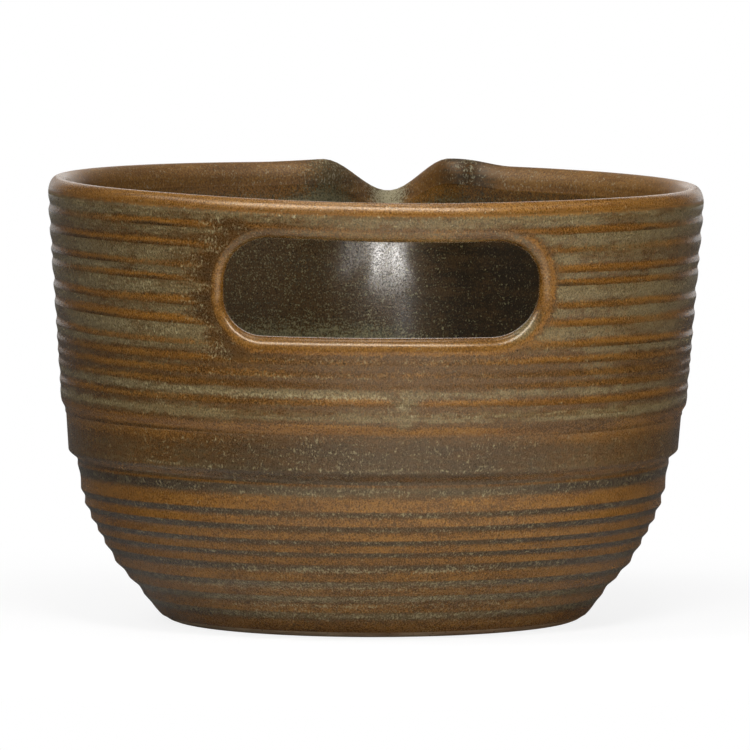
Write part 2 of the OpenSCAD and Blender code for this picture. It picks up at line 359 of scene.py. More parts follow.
@dataclass(frozen=True)
class Spout:
    """Spout pulled from the rim with the thumbs, opposite the hand slot."""

    reach: float = 15.0
    half_w: float = 17.0
    dip: float = 9.6
    rise: float = 1.6
    extra_rise: float = 0.9
    rise_spread: float = 2.0
    shoulder_at: float = 20.0
    shoulder_half: float = 12.0
    dip_shift: float = 0.3
    dip_share: float = 0.97
    pinch: float = 1.2
    pinch_spread: float = 0.6
    power: float = 2.6
    rise_power: int = 3
    root_spread: float = 1.2
    root_shift: float = 4.0
    root_z: float = 46.0
    turn: float = math.radians(2.0)
    rim_h: float = 109.5

    def side(self, phi: Array, r: Array) -> Array:
        """Distance sideways from the spout's axis, large on the other side of the bowl."""
        angle = math.pi - self.turn - phi
        return np.where(np.cos(angle) > 0.0, r * np.sin(angle), FAR)

    def pool(self, phi: Array, r: Array) -> Array:
        """How far glaze has pooled grey-green in the bottom of the channel; the rim's frost there is partly a
        painted reflection of the bright background.
        """
        return 0.9 * bump(self.side(phi, r) / (0.55 * self.half_w))

    def cheeks(self, phi: Array, r: Array) -> tuple[Array, Array, Array]:
        """Shares of the folds to the left and right of the channel, and of a pale line on the right."""
        side = self.side(phi, r) / self.half_w
        return bump((side + 0.85) / 0.75), bump((side - 1.2) / 1.0), bump((side - 1.25) / 0.2)

    def pull(self, phi: Array, r: Array, u: Array) -> tuple[Array, Array]:
        """How far points are moved outwards along the spout, and up.

        Args:
            phi: Angles of the points.
            r: Radii of the points.
            u: Heights of the points.

        Returns:
            Distance moved along the spout's axis, and distance moved up.
        """
        side = self.side(phi, r)
        s = np.clip((u - self.root_z) / (self.rim_h - self.root_z), 0.0, 1.0)
        w = self.half_w * (1.0 + self.root_spread * (1.0 - s))
        out = self.reach * s**self.power * bump((side - self.root_shift * (1.0 - s)) / w)
        out = out - self.pinch * s**self.power * bump((np.abs(side) / self.half_w - 1.0) / self.pinch_spread)
        up = self.rise * bump(side / (self.rise_spread * self.half_w))
        up = up - self.dip * bump((side + self.dip_shift) / (self.dip_share * self.half_w))
        up = up + self.extra_rise * bump((side - self.shoulder_at) / self.shoulder_half)
        return out, up * s**self.rise_power


@dataclass(frozen=True)
class Lean:
    """What the hand left: the rim is higher on one side, the rings wander and the wall is out of round."""

    tilt: float = 0.0166
    low_z: float = 38.0
    high_z: float = 70.0
    wander: float = 0.22
    oval: float = 0.2
    full_z: float = 105.0
    hang: float = 0.65
    hang_half: float = 0.9
    off_axis: tuple[tuple[float, float], ...] = (
        (0.0, 0.0), (10.0, -0.3), (40.0, -0.2), (60.0, 0.0), (90.0, 0.3), (105.0, 0.5),
    )

    def drop(self, x: Array, u: Array) -> Array:
        """How far points sink, more towards +X."""
        return x * self.tilt * smooth((u - self.low_z) / (self.high_z - self.low_z))

    def ring_shift(self, phi: Array, u: Array) -> Array:
        """How far a ring's line wanders up or down as it goes round.

        Args:
            phi: Angles.
            u: Heights in the wall.

        Returns:
            Distances up.
        """
        ends = smooth((u - 2.0) / 10.0) * smooth((105.5 - u) / 6.0)
        waves = np.sin(2.0 * phi + 0.6 + u / 14.0) + 0.6 * np.sin(3.0 * phi + 1.9 - u / 9.0)
        return self.wander * ends * waves

    def sag(self, phi: Array, u: Array) -> Array:
        """How far the bar over the hand slot hangs down in its middle."""
        return self.hang * bump(phi / self.hang_half) * smooth((u - 85.0) / 20.0)

    def drift(self, u: Array) -> Array:
        """How far each height of the bowl is off the axis, towards +X."""
        return np.interp(u, *zip(*self.off_axis))

    def out_of_round(self, phi: Array, u: Array) -> Array:
        """How far the wall is out of round, growing with height."""
        return self.oval * np.sin(2.0 * phi + 2.1) * np.clip(u / self.full_z, 0.0, 1.0)


@dataclass(frozen=True)
class HandSlot:
    """Slot cut straight through the wall opposite the spout, with a full round edge."""

    half_w: float = 38.4
    low_z: float = 75.8
    high_z: float = 99.6
    mid_x: float = 1.55
    corners: tuple[float, float, float, float] = (9.5, 11.5, 10.0, 11.5)
    end_w: float = 10.0

    @property
    def mid_z(self) -> float:
        """Height of the slot's middle."""
        return (self.low_z + self.high_z) / 2

    @property
    def half_h(self) -> float:
        """Half the slot's height."""
        return (self.high_z - self.low_z) / 2

    def local(self, phi: Array, r: Array, u: Array) -> tuple[Array, Array]:
        """Distance across and up from the slot's middle, as seen straight through the slot."""
        return r * np.sin(phi) - self.mid_x, u - self.mid_z

    def distance(self, phi: Array, r: Array, u: Array) -> Array:
        """Distance from the slot's outline, negative inside it and large on the far side of the bowl.

        Args:
            phi: Angles.
            r: Radii in the turned shape.
            u: Heights in the turned shape.

        Returns:
            Distances as seen straight through the slot.
        """
        a, b = self.local(phi, r, u)
        low = np.where(a < 0.0, self.corners[0], self.corners[1])
        corner = np.where(b < 0.0, low, np.where(a < 0.0, self.corners[3], self.corners[2]))
        qa = np.abs(a) - self.half_w + corner
        qb = np.abs(b) - self.half_h + corner
        past = np.hypot(np.maximum(qa, 0.0), np.maximum(qb, 0.0))
        gap = past + np.minimum(np.maximum(qa, qb), 0.0) - corner
        return np.where(np.cos(phi) > FRONT_COS, gap, FAR)

    def at_ends(self, phi: Array, r: Array, u: Array) -> Array:
        """1 beside the slot's ends and 0 above and below it."""
        a, _ = self.local(phi, r, u)
        return smooth((np.abs(a) - self.half_w + self.end_w) / self.end_w)

    def masks(self, points: Array, out: Array, turn: float) -> Masks:
        """Colour areas of the round edge, with painted shade on its inner half.

        Args:
            points: Points of the outline, from the slot's middle.
            out: Outward directions at those points.
            turn: Turn round the edge, from a quarter turn outside to one inside.

        Returns:
            Rust, grey-green, dark and frosted shares of each point.
        """
        top = smooth(out[:, 1] * 1.5)
        pool = bump(np.hypot(points[:, 0] - self.half_w + 4.0, points[:, 1] + self.half_h - 3.0) / 8.0)
        # The inner half darkens towards the inside: partly the darker inside glaze, partly painted shade in
        # the slot.
        inner = smooth(-math.sin(turn) * 1.2)
        rust = (1.0 - 0.6 * top) * (1.0 - 0.9 * pool) * (1.0 - 0.4 * inner)
        grey = np.maximum(0.45 * top, 0.9 * pool)
        return Masks(rust, grey, np.full_like(rust, 0.55 * inner), 0.2 * grey)

    def outline(self, shares: tuple[Array, Array, Array, Array]) -> tuple[Array, Array]:
        """Points of the outline and their outward directions, from the lower left corner anticlockwise.

        Args:
            shares: For the lower, right, upper and left side, the shares of that side that get a point.

        Returns:
            Points as distances across and up from the slot's middle, and unit outward directions.
        """
        signs = ((-1, -1), (1, -1), (1, 1), (-1, 1))
        half = np.array([self.half_w, self.half_h])
        centres = [np.array(sign) * (half - c) for sign, c in zip(signs, self.corners)]
        points, directions = [], []
        for side, share in enumerate(shares):
            nxt = (side + 1) % 4
            c_from, c_to = self.corners[side], self.corners[nxt]
            straight = float(np.abs(centres[nxt] - centres[side])[side % 2])
            arc_from, arc_to = c_from * math.pi / 4, c_to * math.pi / 4
            along = share * (arc_from + straight + arc_to)
            run = np.clip(along - arc_from, 0.0, straight)
            bend = (np.minimum(along, arc_from) - arc_from) / c_from
            bend = bend + np.maximum(along - arc_from - straight, 0.0) / c_to
            face = side * math.pi / 2 - math.pi / 2
            out = np.stack([np.cos(face + bend), np.sin(face + bend)], axis=1)
            tangent = np.array([-math.sin(face), math.cos(face)])
            normal = np.array([math.cos(face), math.sin(face)])
            start = centres[side] + c_from * out
            middle = centres[side] + c_from * normal + np.outer(run, tangent)
            end = centres[nxt] + c_to * out
            late = (along - arc_from - straight > 0.0)[:, None]
            early = (along < arc_from)[:, None]
            points.append(np.where(early, start, np.where(late, end, middle)))
            directions.append(out)
        return np.concatenate(points), np.concatenate(directions)


class Frosting(NamedTuple):
    """A line of pale flecks round the wall: height, half width, strength, and its middle and half length."""

    z: float
    half: float
    strength: float
    phi: float
    reach: float


@dataclass(frozen=True)
class Frost:
    """Lines of pale flecks where the glaze crystallised as it cooled."""

    lines: tuple[Frosting, ...] = (
        Frosting(74.6, 1.6, 0.5, 0.1, 0.5),
        Frosting(70.2, 1.3, 0.7, 0.15, 0.8),
        Frosting(66.2, 1.1, 0.6, -0.3, 0.7),
        Frosting(61.4, 1.7, 0.7, -0.25, 0.9),
        Frosting(57.0, 1.3, 0.55, 0.5, 0.9),
        Frosting(47.4, 3.6, 0.5, -0.3, 1.4),
        Frosting(43.4, 1.1, 0.65, -0.3, 1.4),
        Frosting(37.6, 1.0, 0.7, -0.2, 1.3),
        Frosting(31.6, 0.8, 0.6, -0.1, 0.9),
        Frosting(28.2, 0.7, 0.55, 0.2, 1.0),
        Frosting(17.5, 1.1, 0.95, 0.0, 1.2),
        Frosting(12.9, 1.0, 0.95, -0.2, 1.2),
        Frosting(8.3, 1.3, 1.0, 0.0, 1.3),
    )

    def share(self, phi: Array, u: Array) -> Array:
        """How densely each point is flecked.

        Args:
            phi: Angles.
            u: Heights in the wall.

        Returns:
            Shares from 0 to about 1.
        """
        total = np.zeros_like(u)
        for n, line in enumerate(self.lines):
            patchy = 0.75 + 0.35 * ThrownRings.uneven(phi, np.array(2.0 + n))
            along = 0.25 + 0.75 * bump((phi - line.phi) / line.reach)
            total = np.maximum(total, line.strength * patchy * along * bump((u - line.z) / line.half))
        return total


@dataclass(frozen=True)
class Drip:
    """A run of grey-green glaze down the front, and the dark nick below it."""

    phi: float = math.radians(5.5)
    half: float = math.radians(3.2)
    high: float = 62.0
    low: float = 52.5
    cover: float = 0.9
    nick_phi: float = math.radians(9.0)
    nick_half: float = 0.075
    nick_z: float = 37.4
    nick_h: float = 1.8

    def share(self, phi: Array, u: Array) -> Array:
        """How far the run covers each point.

        Args:
            phi: Angles.
            u: Heights in the wall.

        Returns:
            Shares from 0 to 1.
        """
        narrow = self.half * (0.55 + 0.45 * smooth((u - self.low - 2.0) / 5.0))
        fade = smooth((u - self.low) / 2.0) * (1.0 - smooth((u - self.high) / 2.0))
        return self.cover * fade * bump((phi - self.phi) / (1.6 * narrow))

    def notch(self, phi: Array, u: Array) -> Array:
        """How far the nick darkens each point."""
        across = bump((phi - self.nick_phi) / self.nick_half)
        return self.cover * across * bump((u - self.nick_z) / self.nick_h)


@dataclass(frozen=True)
class BowlForm:
    """Shape and colour areas of the whole bowl, from which every mesh takes its points."""

    section: Section = field(default_factory=Section)
    rings: ThrownRings = field(default_factory=ThrownRings)
    ribs: BellyRibs = field(default_factory=BellyRibs)
    spout: Spout = field(default_factory=Spout)
    lean: Lean = field(default_factory=Lean)
    slot: HandSlot = field(default_factory=HandSlot)
    drip: Drip = field(default_factory=Drip)
    frost: Frost = field(default_factory=Frost)
    belly_top: float = 39.7
    band_top: float = 51.6
    haze: tuple[tuple[float, float], ...] = (
        (39.7, 0.3), (41.0, 0.1), (42.6, 0.2), (43.2, 0.5),
        (44.2, 0.25), (46.4, 0.35), (48.0, 0.15), (51.6, 0.1),
    )
    calm_gap: float = 3.5
    wiped_share: float = 0.35
    wiped_from: float = math.radians(15.0)
    wiped_fade: float = math.radians(40.0)

    def relief(self, phi: Array, u: Array) -> Array:
        """How far rings and ribs stand out, fading towards the hand slot and where the front was wiped.

        Args:
            phi: Angles.
            u: Heights in the wall.

        Returns:
            Distances outwards.
        """
        r = self.section.outside_r(u)
        gap = self.slot.distance(phi, r, u)
        calm = smooth((gap - self.calm_gap - self.slot.at_ends(phi, r, u)) / self.calm_gap)
        both = np.where(u > self.ribs.top, self.rings.relief(u), self.ribs.relief(u))
        aside = smooth((np.abs(phi) - self.wiped_from) / self.wiped_fade)
        wiped = self.wiped_share + (1.0 - self.wiped_share) * aside
        return both * calm * wiped

    def place(self, phi: Array, r: Array, u: Array) -> Array:
        """Points of the finished bowl.

        Args:
            phi: Angles.
            r: Radii of the turned shape.
            u: Heights in the turned shape.

        Returns:
            One row of x, y and z for each point.
        """
        out, up = self.spout.pull(phi, r, u)
        r = r + self.lean.out_of_round(phi, u)
        x = r * np.sin(phi) + out * math.sin(self.spout.turn) + self.lean.drift(u)
        y = -r * np.cos(phi) + out * math.cos(self.spout.turn)
        z = u + up + self.lean.ring_shift(phi, u) - self.lean.drop(x, u) - self.lean.sag(phi, u)
        return np.stack([x, y, z], axis=-1)

    def outside(self, phi: Array, u: Array, plain: bool = False) -> Array:
        """Points of the outside wall, with its rings unless it is to be plain."""
        r = self.section.outside_r(u)
        return self.place(phi, r if plain else r + self.relief(phi, u), u)

    def outside_masks(self, phi: Array, u: Array) -> Masks:
        """Colour areas of the outside wall.

        Args:
            phi: Angles.
            u: Heights in the turned shape.

        Returns:
            Rust, grey-green, dark and frosted shares of each point.
        """
        upper, lower = self.rings.masks(phi, u), self.ribs.masks(phi, u)
        belly = u < self.belly_top
        smooth_band = (u < self.band_top) & ~belly
        haze = np.interp(u, *zip(*self.haze))
        aside = smooth((np.abs(phi) - 0.3) / 0.5)
        brush = 0.3 * aside + (0.2 + 0.3 * aside) * smooth((u - 47.5) / 4.0)
        step = np.maximum(bump((u - 41.1) / 1.2), brush)
        rust = np.where(belly, lower.rust, np.where(smooth_band, step, upper.rust))
        grey = np.where(belly, lower.grey, np.where(smooth_band, haze, upper.grey))
        # Belly grooves darker towards the sides and fainter at the front.
        darker_aside = 0.8 + 0.4 * aside
        plain = (0.75 - 0.3 * aside) * (1.0 - 0.4 * smooth((u - 48.0) / 3.6))
        deep = np.where(belly, lower.deep * darker_aside, np.where(smooth_band, plain, upper.deep))
        r = self.section.outside_r(u)
        gap = self.slot.distance(phi, r, u)
        ends = self.slot.at_ends(phi, r, u)
        over = smooth((u - self.slot.mid_z) / 4.0) * (1.0 - ends)
        under = smooth((self.slot.mid_z - u) / 4.0) * (1.0 - ends)
        a, _ = self.slot.local(phi, r, u)
        left = ends * smooth(-a / 20.0)
        edge = (3.6 - 1.3 * left) * ends + 0.5 * over + 4.0 * under
        border = 1.0 - smooth((gap - edge + 0.5) / (1.2 + 0.6 * ends))
        ragged = left * 1.7 * (np.sin(1.35 * u) + 0.8 * np.sin(0.62 * u + 1.0))
        bare = 1.0 - smooth((gap - edge - 2.0 * left - ragged) / (2.0 + 4.0 * left))
        front = np.where(np.cos(phi) > FRONT_COS, 1.0 - smooth((np.abs(a) - 26.0) / 16.0), 0.0)
        brown = smooth((77.0 - u) / 3.0) * smooth((u - 62.6) / 1.5) * front
        drip = self.drip.share(phi, u)
        notch = self.drip.notch(phi, u)
        rust = np.maximum(rust * (1.0 - 0.5 * np.maximum(brown, over * front)) * (1.0 - bare), border)
        grey = grey * (1.0 - bare) * (1.0 - 0.7 * brown)
        deep = np.maximum(deep * (1.0 - border) * (1.0 - brown), 0.58 * left * bare * (1.0 - border))
        frost = np.where(belly, lower.frost, np.where(smooth_band, 0.2, upper.frost))
        frost = np.maximum(frost, self.frost.share(phi, u)) * (1.0 - border) * (1.0 - 0.6 * bare)
        frost = np.maximum(frost, 0.45 * left * bump((gap - edge - 5.0 - ragged) / 6.0))
        rust = rust * (1.0 - np.maximum(drip, notch))
        return Masks(rust, np.maximum(grey, drip), np.maximum(deep, notch), np.maximum(frost, 0.3 * drip))

    def rim_masks(self, phi: Array, r: Array, u: Array) -> Masks:
        """Colour areas of the rim: grey-green at its lower outside and in the spout, rust over the crest.

        Args:
            phi: Angles.
            r: Radii in the turned shape.
            u: Heights in the turned shape.

        Returns:
            Rust, grey-green, dark and frosted shares of each point.
        """
        outer = r > self.section.crest_r
        low = 1.0 - smooth((u - 105.8) / 0.9)
        left, right, line = self.spout.cheeks(phi, r)
        pool = self.spout.pool(phi, r)
        grey = np.where(outer, 0.85 * low, np.maximum(pool, 0.75 * left))
        deep = np.where(outer, 0.5 * bump((u - 106.9) / 1.2), 0.85 * right * (1.0 - pool))
        folds = 0.2 * smooth(-2.0 * np.cos(phi)) + 0.2 * left + 0.3 * line
        # Heavy frost in the spout's channel: partly pooled glaze, partly painted reflection of the bright
        # background.
        frost = np.where(outer, 0.2 * low, np.maximum(1.3 * pool, folds))
        return Masks(1.0 - grey, grey, deep, frost)

    def inside_masks(self, phi: Array, r: Array, u: Array) -> Masks:
        """Colour areas of the inside: rust under the rim and round the slot, darker lower down, with painted
        shade on the right.

        Args:
            phi: Angles.
            r: Radii in the turned shape.
            u: Heights in the turned shape.

        Returns:
            Rust, grey-green, dark and frosted shares of each point.
        """
        gap = self.slot.distance(phi, r, u)
        # Painted shade: the right of the inside gets less rust, grey and frost and a larger dark share.
        right = smooth((r * np.sin(phi) + 2.0) / 30.0)
        left, _, _ = self.spout.cheeks(phi, r)
        poured = np.maximum(self.spout.pool(phi, r), 0.75 * left) * smooth((u - 90.0) / 10.0)
        under_rim = smooth((u - 96.0) / 8.0) * (1.0 - 0.35 * right) * (1.0 - poured)
        rust = np.maximum(under_rim, 1.0 - smooth((gap - 3.2) / 1.5))
        grey = 0.9 * bump((u - 98.0) / 9.0) * (1.0 - rust) * (1.0 - 0.7 * right)
        grey = np.maximum(grey, 0.7 * bump((u - 64.0) / 7.0) * (1.0 - right)) + 0.5 * poured * (1.0 - rust)
        # Darker lower down, and darker still on the right as painted shade.
        deep = (0.35 + 0.5 * right) * (1.0 - smooth((u - 86.0) / 12.0) * (1.0 - 0.5 * right))
        mottled = 0.5 * bump((u - 63.5) / 9.0) * (1.0 - right)
        frost = 0.35 - 0.2 * right + mottled + 0.25 * bump((u - 99.0) / 7.0)
        return Masks(rust, grey, deep, frost * (1.0 - 0.6 * rust))


@dataclass
class Sheet:
    """One connected surface of the bowl as points, outward normals, colour areas and quads."""

    points: Array
    normals: Array
    masks: Masks
    quads: Array
    zones: Array


class Row(NamedTuple):
    """One ring of points round the turned shape: its area, radius and height."""

    zone: Zone
    r: float
    u: float


@dataclass
class SheetMaker:
    """Lays the bowl's whole surface out as rings of points, with the hand slot's round edge let in."""

    form: BowlForm
    columns: int = 300
    fine: bool = True
    foot: bool = False
    inset: float = 0.0
    extra_inset: float = 0.8
    window_low: float = 69.9
    window_high: float = 104.4
    window_margin: float = 7.0
    window_r: float = 80.0
    sill_z: float = 68.0
    coarse_z: float = 70.0
    ledge_marks: tuple[float, float] = (40.4, 43.0)
    crowding: tuple[float, ...] = (0.0, 0.025, 0.06, 0.12, 0.2, 0.3, 0.42, 0.55, 0.68, 0.82, 0.94, 0.985)
    under_foot: Triple = (4.0, 16.0, 30.0)
    foot_turns: Triple = (12.0, 24.0, 36.0)
    floor_radii: tuple[float, ...] = (24.0, 18.0, 12.0, 6.0, 2.0)
    _points: list[Array] = field(default_factory=list)
    _masks: list[Array] = field(default_factory=list)
    _quads: list[Array] = field(default_factory=list)
    _zones: list[Array] = field(default_factory=list)
    _count: int = 0

    def add_points(self, points: Array, masks: Masks) -> Array:
        """Keeps points with their colour areas.

        Args:
            points: One row of x, y and z for each point.
            masks: Colour areas of the points.

        Returns:
            Numbers of the points.
        """
        self._points.append(points)
        self._masks.append(np.stack(masks, axis=-1))
        self._count += len(points)
        return np.arange(self._count - len(points), self._count)

    def add_quads(self, quads: Array, zone: Zone) -> None:
        """Keeps quads that belong to one area."""
        self._quads.append(quads)
        self._zones.append(np.full(len(quads), zone.value))

    def outside_heights(self) -> tuple[Array, int, int]:
        """Heights of the outside rows, crowded at the corners of rings and ribs.

        Returns:
            The heights, and the indices of the rows below and above the slot's window.
        """
        s = self.form.section
        low = s.glaze_foot[1]
        if not self.fine:
            lower = np.linspace(low, self.coarse_z, 18)
            heights = np.concatenate([lower, np.linspace(self.coarse_z, s.shoulder_z, 14)[1:]])
        else:
            marks = [low] + [c for c in sorted(self.form.ribs.corners) if c > low + 0.5]
            marks += [*self.ledge_marks, *(r.z for r in sorted(self.form.rings.rings))]
            shares = np.array(self.crowding)
            heights = np.concatenate([a + (b - a) * shares for a, b in zip(marks, marks[1:])] + [marks[-1:]])
        below = int(np.argmin(np.abs(heights - self.window_low)))
        above = int(np.argmin(np.abs(heights - self.window_high)))
        return heights, below, above

    def rows(self) -> tuple[list[Row], dict[str, int]]:
        """Rows of the surface from the foot over the rim to the middle of the floor.

        Returns:
            The rows, and the numbers of those that others refer to.
        """
        s = self.form.section
        heights, below, above = self.outside_heights()
        turned: list[Row] = []
        if self.foot:
            ring = s.foot_r - s.foot_ring_w
            turned += [Row(Zone.FOOT, r, s.foot_hollow) for r in (*self.under_foot, ring - s.foot_hollow)]
            turned += [Row(Zone.FOOT, ring, 0.0), Row(Zone.FOOT, s.foot_r, 0.0)]
            glaze_r, glaze_z = s.glaze_foot[0] - self.inset, s.glaze_foot[1]
            for a in np.radians(self.foot_turns):
                out = math.sin(a) / math.sqrt(0.5)
                lift = (1.0 - math.cos(a)) / (1.0 - math.sqrt(0.5))
                turned.append(Row(Zone.FOOT, s.foot_r + (glaze_r - s.foot_r) * out, glaze_z * lift))
        first = len(turned)
        turned += [Row(Zone.OUTSIDE, 0.0, float(u)) for u in heights]
        shoulder = len(turned) - 1
        steps = 10 if self.fine else 4
        neck_z = s.rim_h - s.roll_h
        for a in np.linspace(0.0, math.pi / 2, steps + 1)[1:]:
            r = s.crest_r + s.rim_round_w * math.cos(a)
            turned.append(Row(Zone.RIM, r, s.shoulder_z + s.rim_round * math.sin(a)))
        for a in np.linspace(math.pi / 2, math.pi, steps + 1)[1:]:
            r = s.crest_r + s.roll_w * math.cos(a)
            turned.append(Row(Zone.RIM, r, neck_z + s.roll_h * math.sin(a)))
        for u in np.linspace(neck_z, s.band_z, 7 if self.fine else 3)[1:]:
            turned.append(Row(Zone.RIM, float(s.inside_r(u)), float(u)))
        band = len(turned) - 1
        # As many rows as the outside has beside the slot, so that the two windows have equally long borders.
        window = np.linspace(s.band_z, self.sill_z, above - below + 1)[1:]
        turned += [Row(Zone.INSIDE, float(s.inside_r(u)), float(u)) for u in window]
        sill = len(turned) - 1
        for u in np.linspace(self.sill_z, s.cove_z, 20 if self.fine else 8)[1:]:
            turned.append(Row(Zone.INSIDE, float(s.inside_r(u)), float(u)))
        cove_r = float(s.inside_r(s.cove_z))
        for a in np.linspace(0.0, math.pi / 2, 33 if self.fine else 13)[1:]:
            r = s.floor_flat_r + (cove_r - s.floor_flat_r) * math.cos(a)
            turned.append(Row(Zone.INSIDE, r, s.cove_z - (s.cove_z - s.floor_z) * math.sin(a)))
        turned += [Row(Zone.INSIDE, r, s.floor_z) for r in self.floor_radii]
        marks = {
            "first": first, "shoulder": shoulder, "band": band, "sill": sill,
            "below": first + below, "above": first + above,
        }
        return turned, marks

    def row_points(self, zone: Zone, phi: Array, r: Array, u: Array) -> tuple[Array, Masks]:
        """Points of one area of the surface.

        Args:
            zone: The area.
            phi: Angles.
            r: Radii in the turned shape, which the outside works out for itself.
            u: Heights in the turned shape.

        Returns:
            The points and their colour areas.
        """
        if zone is Zone.OUTSIDE:
            return self.form.outside(phi, u, not self.fine), self.form.outside_masks(phi, u)
        if zone is Zone.RIM:
            return self.form.place(phi, r, u), self.form.rim_masks(phi, r, u)
        if zone is Zone.INSIDE:
            return self.form.place(phi, r, u), self.form.inside_masks(phi, r, u)
        blank = np.zeros_like(u)
        still = np.stack([r * np.sin(phi), -r * np.cos(phi), u], axis=-1)
        return still, Masks(blank, blank, blank, blank)

    @staticmethod
    def border(cols: Array, low: int, high: int) -> tuple[Array, Array]:
        """Rows and columns of the points round a window, from its lower left corner anticlockwise.

        Args:
            cols: Columns of the window.
            low: Row at the window's foot.
            high: Row at the window's head.

        Returns:
            Row and column of each point.
        """
        step = 1 if high > low else -1
        up = np.arange(low, high + step, step)
        across, upright = len(cols) - 1, len(up) - 1
        rows = np.concatenate([np.full(across, low), up[:-1], np.full(across, high), up[:0:-1]])
        side = [cols[:-1], np.full(upright, cols[-1]), cols[:0:-1], np.full(upright, cols[0])]
        return rows, np.concatenate(side)

    def slot_edge(self, points: Array, out: Array, turn: float) -> tuple[Array, Array, Array]:
        """One line of points along the slot's round edge.

        Args:
            points: Points of the outline, from the slot's middle.
            out: Outward directions at those points.
            turn: Turn round the edge, from a quarter turn outside to one inside.

        Returns:
            Angles, radii and heights of the line.
        """
        section, slot = self.form.section, self.form.slot
        z = slot.mid_z + points[:, 1]
        half = (section.outside_r(z) - section.inside_r(z)) / 2
        grow = half * (1.0 - math.cos(turn))
        u = z + out[:, 1] * grow
        x = slot.mid_x + points[:, 0] + out[:, 0] * grow
        low, high = section.inside_r(u), section.outside_r(u)
        r = (low + high) / 2 + (high - low) / 2 * math.sin(turn)
        return np.arcsin(x / r), r, u

    def slot_patch(
        self, grid: Array, phis: Array, turned: list[Row], marks: dict[str, int], cols: Array
    ) -> None:
        """Joins the window in the outside grid to the one in the inside grid round the slot's edge.

        Args:
            grid: Numbers of the points in each row and column.
            phis: Angle of each column.
            turned: The rows.
            marks: Numbers of the rows that bound the windows.
            cols: Columns of the windows.
        """
        form, slot = self.form, self.form.slot
        heights = np.array([row.u for row in turned])
        rows, side = self.border(cols, marks["below"], marks["above"])
        outer, outer_phi, outer_u = grid[rows, side], phis[side], heights[rows]
        rows, side = self.border(cols, marks["sill"], marks["band"])
        inner, inner_phi, inner_u = grid[rows, side], phis[side], heights[rows]
        n, m = len(cols) - 1, marks["above"] - marks["below"]
        across, upright = np.arange(n) / n, np.arange(m) / m
        points, out = slot.outline((across, upright, across, upright))
        seam_phi, _, seam_u = self.slot_edge(points, out, math.pi / 2)
        loops: list[Array] = [outer]
        zones: list[Zone] = []
        for t in np.linspace(0.0, 1.0, 10 if self.fine else 3)[1:]:
            phi = outer_phi + (seam_phi - outer_phi) * t
            u = outer_u + (seam_u - outer_u) * t
            loops.append(self.add_points(*self.row_points(Zone.OUTSIDE, phi, u, u)))
            zones.append(Zone.OUTSIDE)
        for turn in np.linspace(math.pi / 2, -math.pi / 2, 15 if self.fine else 7)[1:]:
            phi, r, u = self.slot_edge(points, out, float(turn))
            loops.append(self.add_points(form.place(phi, r, u), slot.masks(points, out, float(turn))))
            zones.append(Zone.SLOT)
        back_phi, _, back_u = self.slot_edge(points, out, -math.pi / 2)
        for t in np.linspace(0.0, 1.0, 7 if self.fine else 3)[1:-1]:
            phi = back_phi + (inner_phi - back_phi) * t
            u = back_u + (inner_u - back_u) * t
            loops.append(self.add_points(*self.row_points(Zone.INSIDE, phi, form.section.inside_r(u), u)))
            zones.append(Zone.INSIDE)
        loops.append(inner)
        zones.append(Zone.INSIDE)
        for zone, a, b in zip(zones, loops, loops[1:]):
            self.add_quads(np.stack([a, np.roll(a, -1), np.roll(b, -1), b], axis=1), zone)

    def cap(self, ring: Array, zone: Zone, flip: bool) -> None:
        """Closes a small flat ring of points with a ladder of quads.

        Args:
            ring: Numbers of the ring's points, an even count.
            zone: The area that the quads belong to.
            flip: Whether the quads face down.
        """
        j = np.arange(len(ring) // 2 - 1)
        quads = np.stack([ring[j], ring[j + 1], ring[len(ring) - 2 - j], ring[len(ring) - 1 - j]], axis=1)
        self.add_quads(quads[:, ::-1] if flip else quads, zone)

    def make(self) -> Sheet:
        """Lays out the whole surface.

        Returns:
            The surface with normals taken over all its areas, so that seams between areas don't show.
        """
        turned, marks = self.rows()
        phis = np.linspace(-math.pi, math.pi, self.columns, endpoint=False)
        grid_rows = []
        for zone, r, u in turned:
            full = np.ones(self.columns)
            grid_rows.append(self.add_points(*self.row_points(zone, phis, r * full, u * full)))
        grid = np.array(grid_rows)
        slot, reach = self.form.slot, self.form.slot.half_w + self.window_margin
        ca, cb = (
            int(np.argmin(np.abs(phis - math.asin(x / self.window_r))))
            for x in (slot.mid_x - reach, slot.mid_x + reach)
        )
        for i, (row, up, upper) in enumerate(zip(grid, grid[1:], turned[1:])):
            quads = np.stack([row, np.roll(row, -1), np.roll(up, -1), up], axis=1)
            in_window = marks["below"] <= i < marks["above"] or marks["band"] <= i < marks["sill"]
            if in_window:
                quads = np.delete(quads, np.arange(ca, cb), axis=0)
            self.add_quads(quads, upper.zone)
        self.cap(grid[-1], Zone.INSIDE, False)
        if self.foot:
            self.cap(grid[0], Zone.FOOT, True)
        self.slot_patch(grid, phis, turned, marks, np.arange(ca, cb + 1))
        points = np.concatenate(self._points)
        quads = np.concatenate(self._quads)
        normals = self.vertex_normals(points, quads)
        if self.inset:
            bare = np.arange(len(points)) < marks["first"] * self.columns
            depth = self.inset + self.extra_inset * smooth((points[:, 2] - 2.0) / 6.0)
            points = points - normals * np.where(bare, 0.0, depth)[:, None]
        masks = np.concatenate(self._masks)
        return Sheet(points, normals, Masks(*masks.T), quads, np.concatenate(self._zones))

    @staticmethod
    def vertex_normals(points: Array, quads: Array) -> Array:
        """Normals at the points, weighted by the area of the quads around them.

        Args:
            points: One row of x, y and z for each point.
            quads: Numbers of each quad's corners.

        Returns:
            A unit normal for each point.
        """
        p = points[quads]
        faces = np.cross(p[:, 2] - p[:, 0], p[:, 3] - p[:, 1])
        total = np.zeros_like(points)
        for corner in range(4):
            np.add.at(total, quads[:, corner], faces)
        length = np.linalg.norm(total, axis=1, keepdims=True)
        return total / np.maximum(length, 1e-12)


